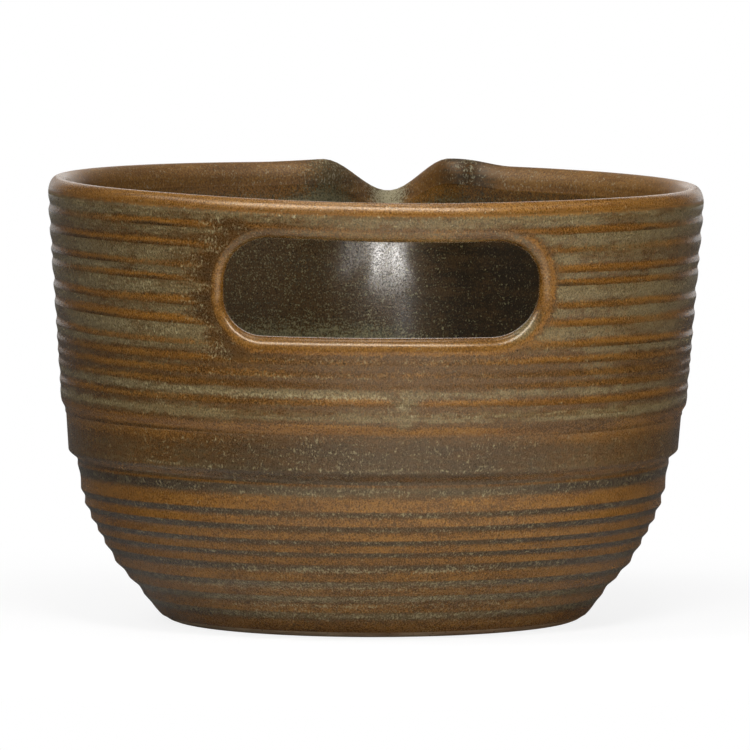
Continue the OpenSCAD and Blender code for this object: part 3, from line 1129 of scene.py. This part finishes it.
class Value:
    """A number that varies over a surface. Arithmetic on it adds Math nodes."""

    def __init__(self, shader: "Shader", socket: bpy.types.NodeSocket) -> None:
        """Wraps an output socket of a shader's node."""
        self.shader = shader
        self.socket = socket

    def maths(self, operation: str, *terms: "Number") -> "Value":
        """Adds a Math node that takes the terms in order."""
        inputs = dict(enumerate(terms))
        return self.shader.value("ShaderNodeMath", 0, {"operation": operation}, inputs)

    def __add__(self, other: "Number") -> "Value":
        """Sum."""
        return self.maths("ADD", self, other)

    def __radd__(self, other: "Number") -> "Value":
        """Sum with a number on the left."""
        return self.maths("ADD", other, self)

    def __sub__(self, other: "Number") -> "Value":
        """Difference."""
        return self.maths("SUBTRACT", self, other)

    def __rsub__(self, other: "Number") -> "Value":
        """Difference from a number on the left."""
        return self.maths("SUBTRACT", other, self)

    def __mul__(self, other: "Number") -> "Value":
        """Product."""
        return self.maths("MULTIPLY", self, other)

    def __rmul__(self, other: "Number") -> "Value":
        """Product with a number on the left."""
        return self.maths("MULTIPLY", other, self)

    def at_least(self, other: "Number") -> "Value":
        """The larger of the two."""
        return self.maths("MAXIMUM", self, other)

    def step(self, low: float, high: float) -> "Value":
        """Smooth step from 0 at low to 1 at high."""
        inputs = {0: self, 1: low, 2: high, 3: 0.0, 4: 1.0}
        return self.shader.value("ShaderNodeMapRange", 0, {"interpolation_type": "SMOOTHSTEP"}, inputs)


Number = Union[Value, float]
Settings = Optional[dict[str, Any]]
Inputs = Optional[dict[Any, Any]]


class Shader:
    """Node tree of one material or of the world."""

    def __init__(self, tree: bpy.types.NodeTree) -> None:
        """Starts from an empty tree."""
        self.tree = tree
        tree.nodes.clear()

    def node(self, kind: str, settings: Settings = None, inputs: Inputs = None) -> bpy.types.Node:
        """Adds a node.

        Args:
            kind: Blender's name of the node's type.
            settings: Properties that are set first.
            inputs: Values or links of the sockets, by name or number.

        Returns:
            The new node.
        """
        made = self.tree.nodes.new(kind)
        for name, setting in (settings or {}).items():
            setattr(made, name, setting)
        for name, given in (inputs or {}).items():
            socket = made.inputs[name]
            if isinstance(given, Value):
                self.tree.links.new(given.socket, socket)
            elif isinstance(given, bpy.types.NodeSocket):
                self.tree.links.new(given, socket)
            else:
                socket.default_value = given
        return made

    def value(self, kind: str, output: Any, settings: Settings = None, inputs: Inputs = None) -> Value:
        """Adds a node and wraps one of its outputs."""
        return Value(self, self.node(kind, settings, inputs).outputs[output])

    def area(self, name: str) -> Value:
        """One of the mesh's colour areas."""
        return self.value("ShaderNodeAttribute", "Fac", {"attribute_name": name})

    def noise(self, per_mm: Triple, detail: float = 2.0, roughness: float = 0.55) -> Value:
        """Adds noise that is fixed to the object.

        Args:
            per_mm: Number of grains for each millimetre along x, y and z.
            detail: Number of finer layers.
            roughness: Strength of the finer layers.

        Returns:
            The noise, about 0.5 on average.
        """
        place = self.node("ShaderNodeTexCoord").outputs["Object"]
        scale = tuple(v / MM for v in per_mm)
        scaled = self.node("ShaderNodeVectorMath", {"operation": "MULTIPLY"}, {0: place, 1: scale}).outputs[0]
        inputs = {"Vector": scaled, "Scale": 1.0, "Detail": detail, "Roughness": roughness}
        return self.value("ShaderNodeTexNoise", 0, {"noise_dimensions": "3D"}, inputs)

    def mix(self, factor: Number, a: Any, b: Any, blend: str = "MIX") -> bpy.types.NodeSocket:
        """Mixes two colours.

        Args:
            factor: Share of the second colour.
            a: First colour, or a socket.
            b: Second colour, or a socket.
            blend: How the colours are mixed.

        Returns:
            The mixed colour's socket.
        """
        first, second = ((*c, 1.0) if isinstance(c, tuple) else c for c in (a, b))
        settings = {"data_type": "RGBA", "blend_type": blend}
        return self.node("ShaderNodeMix", settings, {0: factor, 6: first, 7: second}).outputs[2]


@dataclass(frozen=True)
class IronGlaze:
    """Satin iron glaze that breaks rust where it runs thin and pools grey-green in the bands.

    Grain is the strength of its spray, tooth the height of its bumps in metres, fleck the number of pale
    flecks for each millimetre, dull what frost adds to the roughness, mirror the specular level, and coat the
    most that a grainy clear coat reaches.
    """

    name: str
    brown: Colour = (0.066, 0.029, 0.0056)
    rust: Colour = (0.115, 0.046, 0.0065)
    amber: Colour = (0.17, 0.074, 0.011)
    grey: Colour = (0.115, 0.083, 0.036)
    deep: Colour = (0.026, 0.0135, 0.0042)
    speck: Colour = (0.29, 0.245, 0.13)
    gloss: float = 0.28
    grain: float = 1.15
    specks: float = 0.7
    tooth: float = 0.00018
    fleck: Triple = (2.2, 2.2, 1.4)
    sheen: Colour = (1.0, 0.88, 0.7)
    dull: float = 0.0
    mirror: float = 0.5
    coat: float = 0.0
    coat_rough: float = 0.2
    ior: float = 1.45

    def material(self) -> bpy.types.Material:
        """Makes the material.

        Returns:
            A material that reads the mesh's rust, grey, deep and frost areas.
        """
        made = bpy.data.materials.new(self.name)
        made.use_nodes = True
        s = Shader(made.node_tree)
        rust, grey, deep, frost = (s.area(name) for name in Masks._fields)
        fine = s.noise((2.9, 2.9, 2.3), 1.0, 0.5)
        coarse = s.noise((1.1, 1.1, 0.65), 2.0, 0.6)
        other = s.noise((2.4, 2.6, 2.0), 1.0, 0.5)
        cloud = s.noise((0.08, 0.08, 0.13), 3.0, 0.55)
        run = s.noise((0.05, 0.05, 0.55), 2.0, 0.5)
        drag = s.noise((0.3, 0.3, 1.3), 2.0, 0.55)
        spray = ((fine - 0.5) * 1.1 + (coarse - 0.5) * 0.9) * self.grain
        patchy = (cloud - 0.5) * 1.0 + (run - 0.5) * 0.7 + (drag - 0.5) * 0.9
        thin = (rust + spray * 0.75 + patchy * 0.7).step(0.15, 0.9)
        pool = (grey - spray * 0.9 + patchy).step(0.15, 0.9)
        dark = (deep + (other - 0.5) * self.grain + patchy * 0.75).step(0.25, 1.0)
        warm = s.mix((run * 0.7 + other * 0.8 + cloud * 0.4).step(0.75, 1.2), self.rust, self.amber)
        colour = s.mix(pool, self.brown, self.grey)
        colour = s.mix(thin, colour, warm)
        colour = s.mix(dark, colour, self.deep)
        shade = 1.0 + ((other - 0.5) * 1.6 + (fine - 0.5) * 1.0) * self.grain * (1.0 - thin * 0.4)
        tone = s.node("ShaderNodeCombineColor", None, {0: shade, 1: shade, 2: shade}).outputs[0]
        colour = s.mix(1.0, colour, tone, "MULTIPLY")
        crystal = s.noise(self.fleck, 1.0, 0.5) * 0.7 + coarse * 0.3
        fleck = (crystal + (frost - 0.5) * 0.28 + (drag - 0.5) * 0.3).step(0.46, 0.72)
        colour = s.mix(fleck * self.specks, colour, self.speck)
        rough = self.gloss + (fine - 0.5) * 0.2 + (cloud - 0.5) * 0.12
        if self.dull > 0.0:
            rough = rough + frost * self.dull
        height = fine * 0.6 + coarse * 0.8
        relief = s.node("ShaderNodeBump", None, {"Strength": 0.6, "Distance": self.tooth, "Height": height})
        sockets: dict[str, Any] = {
            "Base Color": colour, "Roughness": rough, "Normal": relief.outputs[0],
            "IOR": self.ior, "Specular IOR Level": self.mirror, "Specular Tint": (*self.sheen, 1.0),
        }
        if self.coat > 0.0:
            grainy = (fine * 0.5 + other * 0.5).step(0.38, 0.6)
            sockets["Coat Weight"] = (0.25 + 0.75 * grainy) * self.coat
            sockets["Coat Roughness"] = self.coat_rough
        skin = s.node("ShaderNodeBsdfPrincipled", None, sockets)
        s.node("ShaderNodeOutputMaterial", None, {"Surface": skin.outputs[0]})
        return made


@dataclass(frozen=True)
class BareStoneware:
    """Unglazed stoneware of the foot: warm buff clay with iron specks and turning lines."""

    name: str = "bare_stoneware"
    buff: Colour = (0.42, 0.31, 0.20)
    toasted: Colour = (0.26, 0.15, 0.075)
    iron: Colour = (0.07, 0.035, 0.018)
    rough: float = 0.82
    tooth: float = 0.0002

    def material(self) -> bpy.types.Material:
        """Makes the material.

        Returns:
            A material that needs no colour areas.
        """
        made = bpy.data.materials.new(self.name)
        made.use_nodes = True
        s = Shader(made.node_tree)
        blotch = s.noise((0.06, 0.06, 0.3), 3.0)
        grit = s.noise((1.3, 1.3, 1.3), 3.0, 0.65)
        colour = s.mix(blotch.step(0.35, 0.7), self.buff, self.toasted)
        colour = s.mix(grit.step(0.62, 0.7), colour, self.iron)
        relief = s.node("ShaderNodeBump", None, {"Strength": 0.5, "Distance": self.tooth, "Height": grit})
        rough = self.rough + (grit - 0.5) * 0.2
        skin = s.node("ShaderNodeBsdfPrincipled", None, {
            "Base Color": colour, "Roughness": rough, "Normal": relief.outputs[0],
        })
        s.node("ShaderNodeOutputMaterial", None, {"Surface": skin.outputs[0]})
        return made


@dataclass
class Piece:
    """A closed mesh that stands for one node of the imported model."""

    name: str
    node: str
    slot: str
    finish: Union[IronGlaze, BareStoneware]

    def finish_mesh(self, points: Array, quads: Array, normals: Array, masks: Array) -> bpy.types.Object:
        """Makes the object, dresses it and puts it in the place of its node.

        Args:
            points: Points in millimetres.
            quads: Corners of each face.
            normals: Normal of each corner of each face.
            masks: Rust, grey, deep and frost shares of each point.

        Returns:
            The finished object.
        """
        mesh = bpy.data.meshes.new(self.name)
        mesh.from_pydata((points * MM).tolist(), [], quads.tolist())
        mesh.polygons.foreach_set("use_smooth", np.ones(len(quads), dtype=bool))
        for name, share in zip(Masks._fields, masks.T):
            layer = mesh.attributes.new(name, "FLOAT", "POINT")
            layer.data.foreach_set("value", share.astype(np.float32))
        mesh.normals_split_custom_set(normals.reshape(-1, 3).tolist())
        mesh.materials.append(self.finish.material())
        made = bpy.data.objects.new(self.name, mesh)
        bpy.context.scene.collection.objects.link(made)
        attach(made, "root")
        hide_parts(self.node)
        return made


@dataclass
class GlazeSkin(Piece):
    """One area of the glaze coat, closed by an underside and walls along its seams."""

    zone: Zone = Zone.OUTSIDE
    thickness: float = 0.4

    def build(self, sheet: Sheet) -> bpy.types.Object:
        """Cuts the area from the bowl's surface and gives it the coat's thickness.

        Args:
            sheet: The bowl's whole surface.

        Returns:
            The skin as an object.
        """
        area = sheet.quads[sheet.zones == self.zone.value]
        used, local = np.unique(area, return_inverse=True)
        top = local.reshape(-1, 4)
        n = len(used)
        face, up = sheet.points[used], sheet.normals[used]
        points = np.concatenate([face, face - self.thickness * up])
        ends = np.concatenate([top[:, [i, (i + 1) % 4]] for i in range(4)])
        key = np.sort(ends, axis=1)
        _, first, counts = np.unique(key, axis=0, return_index=True, return_counts=True)
        rim = ends[first[counts == 1]]
        walls = np.stack([rim[:, 1], rim[:, 0], rim[:, 0] + n, rim[:, 1] + n], axis=1)
        quads = np.concatenate([top, top[:, ::-1] + n, walls])
        p = points[walls]
        wall_normals = np.cross(p[:, 2] - p[:, 0], p[:, 3] - p[:, 1])
        wall_normals /= np.maximum(np.linalg.norm(wall_normals, axis=1, keepdims=True), 1e-12)
        normals = np.concatenate([up[top], -up[top[:, ::-1]], np.repeat(wall_normals[:, None], 4, axis=1)])
        masks = np.stack(sheet.masks, axis=-1)[used]
        return self.finish_mesh(points, quads, normals, np.concatenate([masks, masks]))


@dataclass
class ClayBody(Piece):
    """The fired clay under the coat, bare on the foot."""

    def build(self, sheet: Sheet) -> bpy.types.Object:
        """Makes the clay from a closed surface.

        Args:
            sheet: The clay's whole surface.

        Returns:
            The body as an object.
        """
        masks = np.stack(sheet.masks, axis=-1)
        return self.finish_mesh(sheet.points, sheet.quads, sheet.normals[sheet.quads], masks)


class Reach(Enum):
    """What a lamp reaches: the whole scene, or only the bowl's inside or its outer shell, as behind flags."""

    ALL = "all"
    INSIDE = "lit_inside"
    SHELL = "lit_shell"


class Lamp(NamedTuple):
    """A soft lamp: place and aim in metres, width and height, power, and spread in degrees.

    Without shine it isn't mirrored, as behind a cross polariser. Without lights it is only mirrored.
    """

    name: str
    at: Triple
    towards: Triple
    size: tuple[float, float]
    watts: float
    spread: float = 180.0
    shine: bool = True
    lights: bool = True
    reach: Reach = Reach.ALL


BOWL = (0.0, 0.0, 0.06)
CHANNEL = (0.003, 0.066, 0.086)


INSIDE_SHEEN = {"lights": False, "reach": Reach.INSIDE}


@dataclass
class Studio:
    """White floor and background, soft lamps and the camera.

    Mirrored and floor_mirrored are the shares of the white background and floor that the glaze mirrors.
    """

    eye: Triple = (0.0, -2.8, 0.275)
    aim: Triple = (0.0, 0.0, 0.060)
    lens: float = 539.2
    sensor: float = 36.0
    shift: tuple[float, float] = (1.0 / IMAGE, 3.45 / IMAGE)
    clip: tuple[float, float] = (0.05, 50.0)
    floor_half: float = 6.0
    card: Colour = (0.12, 0.12, 0.12)
    paper: Colour = (0.85, 0.85, 0.85)
    seen_paper: Colour = (0.8, 0.8, 0.8)
    ambient: float = 0.05
    mirrored: float = 0.05
    floor_mirrored: float = 0.005
    lit: dict[Reach, bpy.types.Collection] = field(default_factory=dict)
    lamps: tuple[Lamp, ...] = (
        Lamp("front_sheen", (-0.15, -0.96, 1.35), BOWL, (2.4, 0.4), 52.0, lights=False, reach=Reach.SHELL),
        Lamp("top_sheen", (0.0, 0.1, 1.3), BOWL, (0.6, 0.6), 5.0, lights=False),
        Lamp("spout_light", (0.0, -0.58, 0.85), CHANNEL, (0.8, 0.24), 9.5, **INSIDE_SHEEN),
        Lamp("spout_left", (-0.54, -0.37, 0.81), CHANNEL, (1.0, 0.24), 7.5, **INSIDE_SHEEN),
        Lamp("spout_right", (0.54, -0.37, 0.81), CHANNEL, (1.0, 0.24), 10.0, **INSIDE_SHEEN),
        Lamp("spout_far_right", (0.8, -0.31, 0.56), CHANNEL, (0.9, 0.46), 4.3, **INSIDE_SHEEN),
        Lamp("well_light", (-0.1, -0.72, 0.7), CHANNEL, (0.9, 0.2), 4.2, **INSIDE_SHEEN),
        Lamp("front_softbox", (-0.4, -1.5, 0.75), BOWL, (0.35, 0.3), 0.7),
        Lamp("front_top_fill", (0.0, -1.35, 1.1), BOWL, (1.5, 0.2), 5.2, shine=False),
        Lamp("left_strip", (-1.1, -0.15, 1.05), BOWL, (0.9, 0.25), 3.3),
        Lamp("right_strip", (1.1, -0.15, 1.05), BOWL, (0.9, 0.25), 1.2),
        Lamp("paper_light", (0.1, -0.65, 0.9), (0.1, -0.45, 0.0), (0.3, 0.3), 3.0, 60.0, shine=False),
        Lamp("left_sweep", (-0.45, 1.25, 0.35), BOWL, (0.4, 0.9), 0.9),
        Lamp("right_sweep", (0.45, 1.25, 0.35), BOWL, (0.4, 0.9), 1.2),
        Lamp("back_sheen", (0.0, 1.4, 0.5), BOWL, (0.5, 0.4), 1.3),
        Lamp("front_fill", (0.35, -1.6, 0.1), BOWL, (0.6, 0.15), 4.8, shine=False),
        Lamp("left_fill", (-1.4, -0.5, 0.12), BOWL, (0.5, 0.2), 0.8, shine=False),
        Lamp("left_top_fill", (-0.8, -0.3, 1.2), BOWL, (0.5, 0.5), 6.5, shine=False),
        Lamp("right_fill", (1.4, -0.4, 0.12), BOWL, (0.5, 0.2), 4.0, shine=False),
        Lamp("top_fill", (0.0, 0.2, 1.3), BOWL, (1.0, 1.0), 2.5, shine=False),
        Lamp("back_fill", (0.0, 1.5, 0.4), BOWL, (0.8, 0.6), 12.0, shine=False),
    )

    @staticmethod
    def facing(at: Triple, towards: Triple) -> Euler:
        """Turn of a lamp or camera at one place that faces another."""
        return (Vector(towards) - Vector(at)).to_track_quat("-Z", "Y").to_euler()

    def build_camera(self) -> None:
        """Sets the camera in front of the hand slot and a few degrees above it."""
        lens = bpy.data.cameras.new("camera")
        lens.sensor_width = self.sensor
        lens.lens = self.lens
        lens.shift_x, lens.shift_y = self.shift
        lens.clip_start, lens.clip_end = self.clip
        made = bpy.data.objects.new("camera", lens)
        made.location = self.eye
        made.rotation_euler = self.facing(self.eye, self.aim)
        bpy.context.scene.collection.objects.link(made)
        bpy.context.scene.camera = made

    def build_lamps(self) -> None:
        """Hangs the soft lamps."""
        for lamp in self.lamps:
            light = bpy.data.lights.new(lamp.name, "AREA")
            light.shape = "RECTANGLE"
            light.size, light.size_y = lamp.size
            light.energy = lamp.watts
            light.spread = math.radians(lamp.spread)
            made = bpy.data.objects.new(lamp.name, light)
            made.location = lamp.at
            made.rotation_euler = self.facing(lamp.at, lamp.towards)
            made.visible_camera = False
            made.visible_glossy = lamp.shine
            made.visible_diffuse = lamp.lights
            if lamp.reach is not Reach.ALL:
                made.light_linking.receiver_collection = self.lit[lamp.reach]
            bpy.context.scene.collection.objects.link(made)

    def catch(self, piece: bpy.types.Object, reach: Reach) -> None:
        """Lets the lamps of one reach light a piece."""
        self.lit[reach].objects.link(piece)

    @staticmethod
    def white_rays(s: Shader, mirrored: float) -> Value:
        """Share of a white background that a ray sees.

        Args:
            s: Shader of the background.
            mirrored: Share that a mirrored ray sees.

        Returns:
            1 for the camera's rays and for those through glass, the given share for mirrored ones, else 0.
        """
        path = s.node("ShaderNodeLightPath").outputs
        clear = Value(s, path["Is Camera Ray"]).at_least(Value(s, path["Is Transmission Ray"]))
        return clear.at_least(Value(s, path["Is Glossy Ray"]) * mirrored)

    def build_world(self) -> None:
        """Lights the room softly and shows the background as white."""
        world = bpy.data.worlds.new("studio")
        world.use_nodes = True
        bpy.context.scene.world = world
        s = Shader(world.node_tree)
        seen = self.white_rays(s, self.mirrored)
        room = s.node("ShaderNodeBackground", None, {"Color": (1.0, 1.0, 1.0, 1.0), "Strength": self.ambient})
        white = s.node("ShaderNodeBackground", None, {"Color": (1.0, 1.0, 1.0, 1.0), "Strength": 1.0})
        both = s.node("ShaderNodeMixShader", None, {0: seen, 1: room.outputs[0], 2: white.outputs[0]})
        s.node("ShaderNodeOutputWorld", None, {"Surface": both.outputs[0]})

    def build_floor(self) -> None:
        """Lays a floor that looks white and keeps a faint shadow.

        To the light it is grey card, with a strip of white paper in front of the bowl.
        """
        mesh = bpy.data.meshes.new("floor")
        w = self.floor_half
        mesh.from_pydata([(-w, -w, 0.0), (w, -w, 0.0), (w, w, 0.0), (-w, w, 0.0)], [], [(0, 1, 2, 3)])
        paper = bpy.data.materials.new("white_paper")
        paper.use_nodes = True
        s = Shader(paper.node_tree)
        seen = self.white_rays(s, self.floor_mirrored)
        place = s.node("ShaderNodeTexCoord").outputs["Object"]
        axes = s.node("ShaderNodeSeparateXYZ", None, {0: place})
        x, y = Value(s, axes.outputs[0]), Value(s, axes.outputs[1])
        strip = x.step(-0.25, -0.05) * (1.0 - x.step(0.25, 0.45)) * (1.0 - y.step(-0.15, 0.05))
        shade = s.mix(seen, s.mix(strip, self.card, self.paper), self.seen_paper)
        lit = s.node("ShaderNodeBsdfDiffuse", None, {"Color": shade})
        white = s.node("ShaderNodeEmission", None, {"Color": (1.0, 1.0, 1.0, 1.0), "Strength": 1.0})
        away = s.value("ShaderNodeVectorMath", "Value", {"operation": "LENGTH"}, {0: place})
        share = seen * (0.85 + 0.15 * away.step(0.08, 0.22))
        both = s.node("ShaderNodeMixShader", None, {0: share, 1: lit.outputs[0], 2: white.outputs[0]})
        s.node("ShaderNodeOutputMaterial", None, {"Surface": both.outputs[0]})
        mesh.materials.append(paper)
        made = bpy.data.objects.new("floor", mesh)
        bpy.context.scene.collection.objects.link(made)

    def build(self) -> None:
        """Builds the whole studio."""
        bpy.context.scene.view_settings.view_transform = "Standard"
        self.lit = {reach: bpy.data.collections.new(reach.value) for reach in (Reach.INSIDE, Reach.SHELL)}
        self.build_world()
        self.build_floor()
        self.build_lamps()
        self.build_camera()


def main() -> None:
    """Builds the studio and the bowl's pieces."""
    logging.basicConfig(level=logging.INFO, format="%(name)s: %(message)s")
    studio = Studio()
    studio.build()
    form = BowlForm()
    skin = SheetMaker(form).make()
    clay = SheetMaker(form, columns=120, fine=False, foot=True, inset=0.4).make()
    outside = IronGlaze("outside_iron_glaze")
    rim = IronGlaze(
        "rim_iron_glaze", rust=(0.14, 0.058, 0.0086), amber=(0.215, 0.1, 0.019), speck=(0.36, 0.32, 0.2),
        specks=0.85, tooth=0.0001, dull=1.5,
    )
    lining = IronGlaze(
        "slot_iron_glaze", rust=(0.1, 0.042, 0.0068), amber=(0.155, 0.072, 0.014), gloss=0.25, tooth=0.00006,
    )
    inside = IronGlaze(
        "inside_iron_glaze", brown=(0.055, 0.03, 0.009), grey=(0.12, 0.108, 0.06), deep=(0.011, 0.007, 0.003),
        rust=(0.13, 0.056, 0.009), speck=(0.22, 0.195, 0.095), gloss=0.36, grain=1.7, specks=0.8,
        tooth=0.00016, fleck=(2.4, 2.4, 2.2), sheen=(1.0, 1.0, 0.93), mirror=0.08, coat=1.0,
    )
    body = ClayBody("clay_body", "stoneware_body", "clay", BareStoneware()).build(clay)
    LOG.info("%s stands for stoneware_body", body.name)
    for made in (
        GlazeSkin("outside_glaze_skin", "outside_glaze", "outside_glaze", outside, Zone.OUTSIDE),
        GlazeSkin("rim_glaze_band", "rim_glaze", "rim_glaze", rim, Zone.RIM),
        GlazeSkin("inside_glaze_skin", "inside_glaze", "inside_glaze", inside, Zone.INSIDE),
        GlazeSkin("slot_glaze_lining", "slot_glaze", "rim_glaze", lining, Zone.SLOT),
    ):
        piece = made.build(skin)
        studio.catch(piece, Reach.INSIDE if made.zone is Zone.INSIDE else Reach.SHELL)
        LOG.info("%s stands for %s, %d faces", piece.name, made.node, len(piece.data.polygons))


if __name__ == "__main__":
    main()
